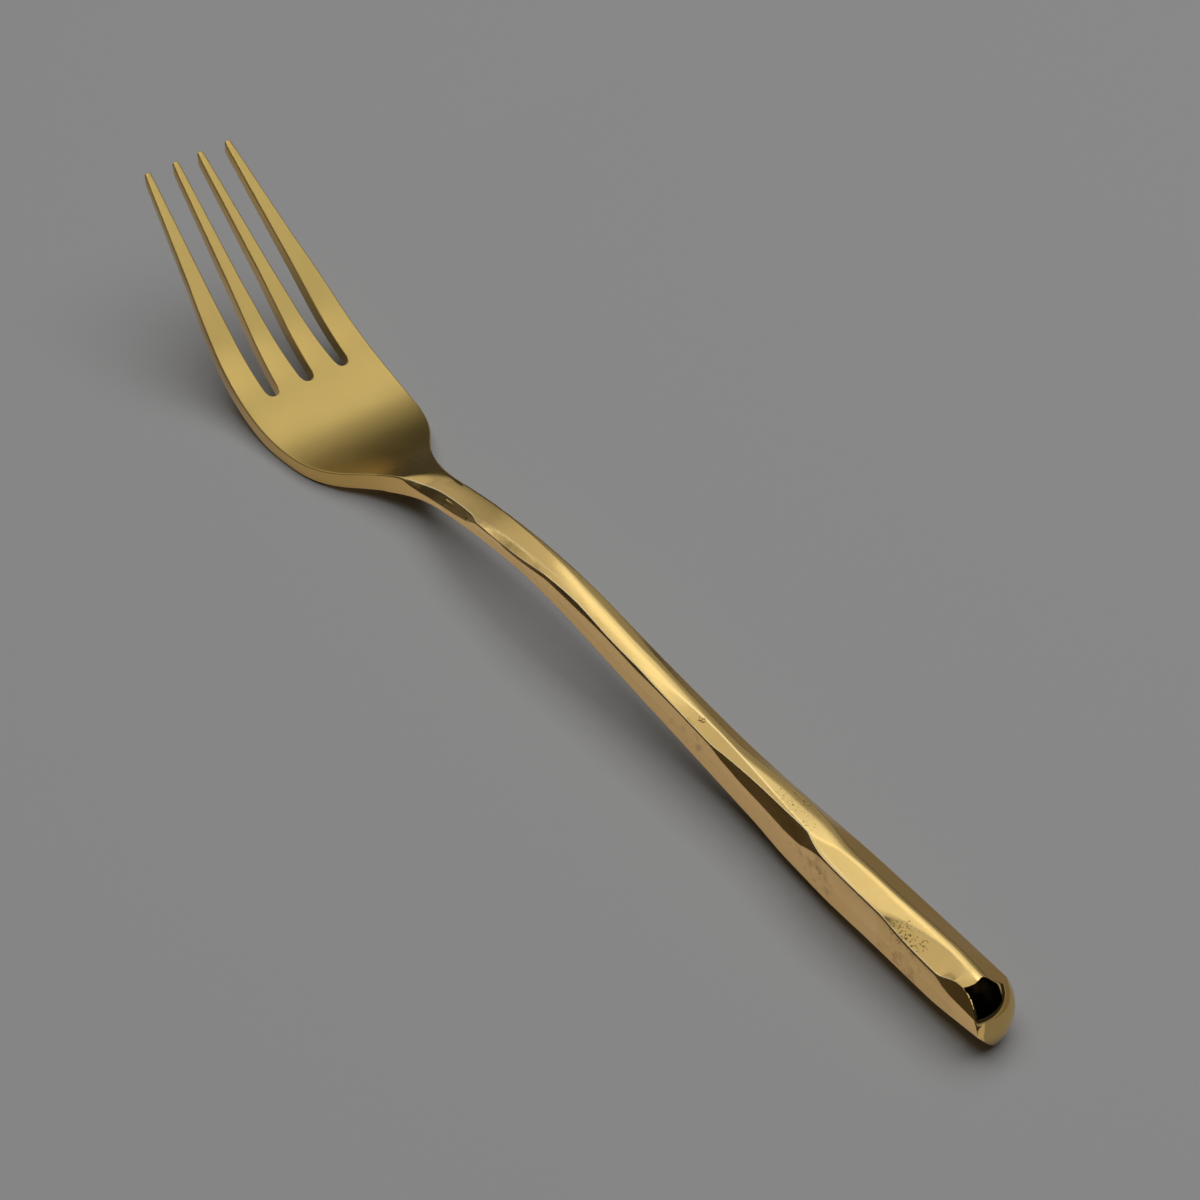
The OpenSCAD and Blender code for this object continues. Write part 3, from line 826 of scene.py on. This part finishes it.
def gold_coat(name, along, grain, pits, stains=()):
    """A gold coat with a roughness and a tone at each of two stations, a grain, pits, stains and a painted
    highlight.

    A pit or a stain is the middle and the reach of a ball, in millimetres, and the least noise that shows.
    """
    material, tree, shader = start_material(name, {"Metallic": 1})
    place_on = node(tree, "ShaderNodeTexCoord").outputs["Object"]
    x = node(tree, "ShaderNodeSeparateXYZ", Vector=place_on).outputs["X"]
    cloud = node(tree, "ShaderNodeTexNoise", {"Scale": cloud_scale, "Detail": 2}, Vector=place_on)
    (x0, r0, start_tone), (x1, r1, end_tone) = along
    ends = {"From Min": metres([(x0, 0, 0)])[0][0], "From Max": metres([(x1, 0, 0)])[0][0]}
    share = node(tree, "ShaderNodeMapRange", ends, Value=x).outputs["Result"]
    level = node(tree, "ShaderNodeMapRange", {"To Min": r0, "To Max": r1}, Value=share)
    uneven = node(tree, "ShaderNodeMapRange", {"To Min": 0.88, "To Max": 1.12}, Value=cloud.outputs["Fac"])
    rough = node(tree, "ShaderNodeMath", {"operation": "MULTIPLY"},
                 Value=level.outputs["Result"], Value_001=uneven.outputs["Result"])
    tree.links.new(rough.outputs["Value"], shader.inputs["Roughness"])

    # pits and stains: noise that shows only inside its ball
    depth = None
    spots = [(p, pit_scale, pit_ramp) for p in pits] + [(s, stain_scale, stain_ramp) for s in stains]
    for (middle, reach, least), scale, ramp in spots:
        noise = node(tree, "ShaderNodeTexNoise", {"Scale": scale, "Detail": 2}, Vector=place_on)
        away = node(tree, "ShaderNodeVectorMath",
                    {"operation": "DISTANCE", "Vector_001": metres([middle])[0]}, Vector=place_on)
        fade = {"From Min": reach / 1600, "From Max": reach / 1000, "To Min": least, "To Max": 0.9}
        near = node(tree, "ShaderNodeMapRange", fade, Value=away.outputs["Value"])
        bite = node(tree, "ShaderNodeMath", {"operation": "SUBTRACT"},
                    Value=noise.outputs["Fac"], Value_001=near.outputs["Result"]).outputs["Value"]
        bite = node(tree, "ShaderNodeMapRange", {"From Max": ramp}, Value=bite).outputs["Result"]
        depth = bite if depth is None else node(tree, "ShaderNodeMath", {"operation": "MAXIMUM"},
                                                Value=depth, Value_001=bite).outputs["Value"]
    # the tone blends from the first station's to the second's; on the head the first tone is darker, as
    # painted shade
    tones = {"data_type": "RGBA", "A_Color": linear(start_tone), "B_Color": linear(end_tone)}
    coat = node(tree, "ShaderNodeMix", tones, Factor_Float=share).outputs[2]
    coat = node(tree, "ShaderNodeMix", {"data_type": "RGBA", "B_Color": linear(pit_tone)},
                Factor_Float=depth, A_Color=coat).outputs[2]
    # painted highlight: each point's share lifts the base colour towards the pale tone
    painted_highlight = node(tree, "ShaderNodeAttribute", {"attribute_name": "painted_highlight"}).outputs["Fac"]
    highlight_share = node(tree, "ShaderNodeMix", {"data_type": "RGBA", "B_Color": linear(highlight_tone)},
                  Factor_Float=painted_highlight, A_Color=coat).outputs[2]
    tree.links.new(highlight_share, shader.inputs["Base Color"])

    drawn = node(tree, "ShaderNodeMapping", {"Scale": grain}, Vector=place_on).outputs["Vector"]
    fine = node(tree, "ShaderNodeTexNoise", {"Scale": 1.0, "Detail": 2}, Vector=drawn).outputs["Fac"]
    height = node(tree, "ShaderNodeMath", {"operation": "MULTIPLY_ADD", "Value_001": -3.0},
                  Value=depth, Value_002=fine).outputs["Value"]
    bump = node(tree, "ShaderNodeBump", {"Strength": 0.06, "Distance": 0.1 * mm}, Height=height)
    tree.links.new(bump.outputs["Normal"], shader.inputs["Normal"])
    return material


# %% Coats of the three pieces
handle_tone = "#E9C67C"
# satin head: a very fine grain drawn along the fork, almost free of pits, and a darker base colour up to
# 50 mm as painted shade, which blends into the handle's tone by 64 mm
satin = gold_coat("satin_gold_coat", ((50, 0.31, "#C4A761"), (64, 0.22, handle_tone)),
                  (0.09 / mm, 2.5 / mm, 2.5 / mm), [((58, -2, 7), 4, 0.66)])
# brown stains on the left side: each ball lies beside the handle and reaches the side but not the top
stains = [((121, -9, 6.5), 9.5, 0.35), ((148, -10, 6.2), 9.7, 0.35), ((165.5, -10.5, 5.7), 10.2, 0.35)]
# hewn upper half: softly polished, a mirror on the butt, with pits on two leaves, a lens and the left side
hewn = gold_coat("hewn_gold_coat", ((174.6, 0.22, handle_tone), (176.4, 0.05, handle_tone)),
                 (0.3 / mm, 0.5 / mm, 0.5 / mm),
                 [((164.4, -3.1, 8.7), 2.5, 0.54), ((167, -2.6, 8.5), 2.3, 0.57),
                  ((122.2, -0.9, 10.2), 1.2, 0.5), ((141, -2.6, 8.2), 7, 0.62),
                  ((149.2, -3.35, 6.8), 0.9, 0.46)], stains)
# lower half: satin on the sides, with the lower part of the stains, and a mirror on the butt
plain = gold_coat("side_gold_coat", ((174.6, 0.3, handle_tone), (176.4, 0.05, handle_tone)),
                  (0.2 / mm, 0.6 / mm, 0.6 / mm), [], stains)
for piece, coat in ((head, satin), (upper, hewn), (lower, plain)):
    piece.data.materials.append(coat)
print("coats:", satin.name, hewn.name, plain.name)

# %% Cement and solder inside
# Resin cement: a dull grey body with light grains. Soldered seam: bright, slightly uneven metal.
cement, tree, shader = start_material("bedding_cement", {"Roughness": 0.9})
place_on = node(tree, "ShaderNodeTexCoord").outputs["Object"]
grain = node(tree, "ShaderNodeTexNoise", {"Scale": 1.5 / mm, "Detail": 4}, Vector=place_on).outputs["Fac"]
tone = node(tree, "ShaderNodeValToRGB", Fac=grain)
tone.color_ramp.elements[0].color, tone.color_ramp.elements[1].color = linear("#77736A"), linear("#A39E93")
tree.links.new(tone.outputs["Color"], shader.inputs["Base Color"])
solder, tree, shader = start_material("silver_solder", {"Metallic": 1, "Base Color": linear("#D9D2BE")})
place_on = node(tree, "ShaderNodeTexCoord").outputs["Object"]
wave = node(tree, "ShaderNodeTexNoise", {"Scale": 0.9 / mm, "Detail": 2}, Vector=place_on).outputs["Fac"]
rough = node(tree, "ShaderNodeMapRange", {"To Min": 0.3, "To Max": 0.5}, Value=wave).outputs["Result"]
tree.links.new(rough, shader.inputs["Roughness"])
for name, material in (("handle_filler", cement), ("seam_solder", solder)):
    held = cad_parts[name]
    held.data.materials.clear()
    held.data.materials.append(material)
    print(name, "has", material.name)

# %% [markdown]
# ## Pieces on the solid model
#
# Each dressed piece stands for its solid and rides on the same body. Nothing on a fork moves, so that is one
# body for all of them.

# %% Ride and replace
for piece, name, finish in ((head, "fork_head", "head_metal"), (upper, "upper_handle_shell", "shell_metal"),
                            (lower, "lower_handle_shell", "shell_metal")):
    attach(piece, "root")
    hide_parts(name)
    print(piece.name, "stands for", name)

# %% [markdown]
# ## Floor and light
#
# The fork lies on a plain grey sheet. Polished metal is lit by what it mirrors, so each lamp is placed
# where one kind of face mirrors it: a long softbox behind and above for the top of the handle, a panel
# beside it for the tines and the palm, panels on the left for the leaves and the neck, and a faint strip on
# the sheet for the left side. The dark of the room gives the deep tones. One large lamp, which the metal
# doesn't mirror, brings the sheet to a plain level and draws the soft shadow. Lamps that lit everything
# would be easier to place, but each would then change the sheet too.

# %% Floor
bpy.ops.object.select_all(action="DESELECT")
bpy.ops.mesh.primitive_plane_add(size=8)
floor = bpy.context.object
floor.name = "grey_sheet"
sheet, tree, shader = start_material("matt_grey_sheet", {"Base Color": linear("#9A9A9A"), "Roughness": 0.9})
shader.inputs["Specular IOR Level"].default_value = 0.1
floor.data.materials.append(sheet)
print("floor:", [round(v, 1) for v in floor.dimensions], "m")

# %% Lamps


def softbox(name, toward, away, size, radiance, lights="metal", tint=(1, 1, 1), along=0):
    """A rectangular lamp that faces the fork from a direction, as bright as the radiance says."""
    lamp = bpy.data.lights.new(name, "AREA")
    lamp.shape, (lamp.size, lamp.size_y) = "RECTANGLE", size
    lamp.energy, lamp.color = radiance * pi * size[0] * size[1], tint
    made = bpy.data.objects.new(name, lamp)
    scene.collection.objects.link(made)
    d = np.array(toward, float) / np.linalg.norm(toward)
    made.location = d * away + (along, 0, 0)
    made.rotation_euler = (acos(d[2]), 0, atan2(d[0], -d[1]))
    made.visible_glossy, made.visible_diffuse = lights == "metal", lights == "floor"
    return made


# the top of the handle, then the tines and the palm
softbox("top_softbox", (0, 0.559, 0.829), 1.0, (1.92, 0.4), 0.95, tint=(0.95, 1, 1.08), along=0.14)
softbox("tine_panel", (0, 0.22, 0.975), 1.0, (0.58, 0.3), 1.7, along=0.17)
# the leaves, the neck and the highlight on the ridge
softbox("left_panel", (-0.525, -0.067, 0.883), 1.0, (1.22, 0.86), 0.62)
softbox("low_left_panel", (-0.957, -0.203, 0.42), 1.03, (0.9, 0.36), 0.5)
softbox("edge_strip", (-0.597, -0.506, 0.623), 1.0, (0.6, 0.05), 1.3)
# the bend between the top and the right facet, then the left of the butt
softbox("back_panel", (0, 0.887, 0.462), 1.0, (2.0, 0.62), 0.26)
softbox("front_panel", (0.08, -0.77, 0.58), 1.0, (0.9, 0.4), 0.7)
# the sheet, then the light that it throws on the left side, from a strip that lies just above it
softbox("sheet_lamp", (0.0, 0.16, 1.0), 1.2, (1.5, 1.5), 2.2, lights="floor")
bounce = softbox("side_bounce", (0, 0, 1), 0.4 * mm, (0.3, 0.011), 0.225, tint=(1, 0.84, 0.9))
bounce.location, bounce.rotation_euler = (0.02, -0.0085, 0.4 * mm), (pi, 0, 0)

# %% Dim room
world = bpy.data.worlds.new("dim_room")
scene.world = world
world.use_nodes = True
room = world.node_tree.nodes["Background"]
room.inputs["Color"].default_value = linear("#2C2C2C")
room.inputs["Strength"].default_value = 1.0
print("room:", world.name)

# %% Flags
# Cards, as a studio uses them: a black one keeps the softbox out of the mirror on the butt, a dark one on
# the left gives the bevel under the ridge its deep tone, and a grey one calms the right facet. Only the metal
# sees them.


def lying(height, *corners):
    """Four corners of a card that lies just above the sheet."""
    return [(x, y, height) for x, y in corners]


def card(name, corners, tone):
    """A sheet of dull paper that only the metal mirrors."""
    bpy.ops.object.select_all(action="DESELECT")
    bpy.ops.mesh.primitive_plane_add(size=1)
    made = bpy.context.object
    made.name = name
    made.data.vertices.foreach_set("co", np.ravel(corners))
    paper, tree, shader = start_material(name + "_paper", {"Base Color": linear(tone), "Roughness": 1})
    shader.inputs["Specular IOR Level"].default_value = 0
    made.data.materials.append(paper)
    made.visible_camera = made.visible_diffuse = made.visible_shadow = False


card("butt_flag", [(0.045, -0.02, 0.09), (0.24, -0.06, 0.03), (0.045, 0.16, 0.09), (0.24, 0.24, 0.03)],
     "#040404")
card("left_flag", lying(0.6 * mm, (-0.2, -0.25), (0.13, -0.25), (-0.1, -0.015), (0.13, -0.0072)), "#4E463E")
card("right_flag", lying(0.3 * mm, (-0.1, 0.02), (0.16, 0.02), (-0.1, 0.12), (0.16, 0.12)), "#8C8272")
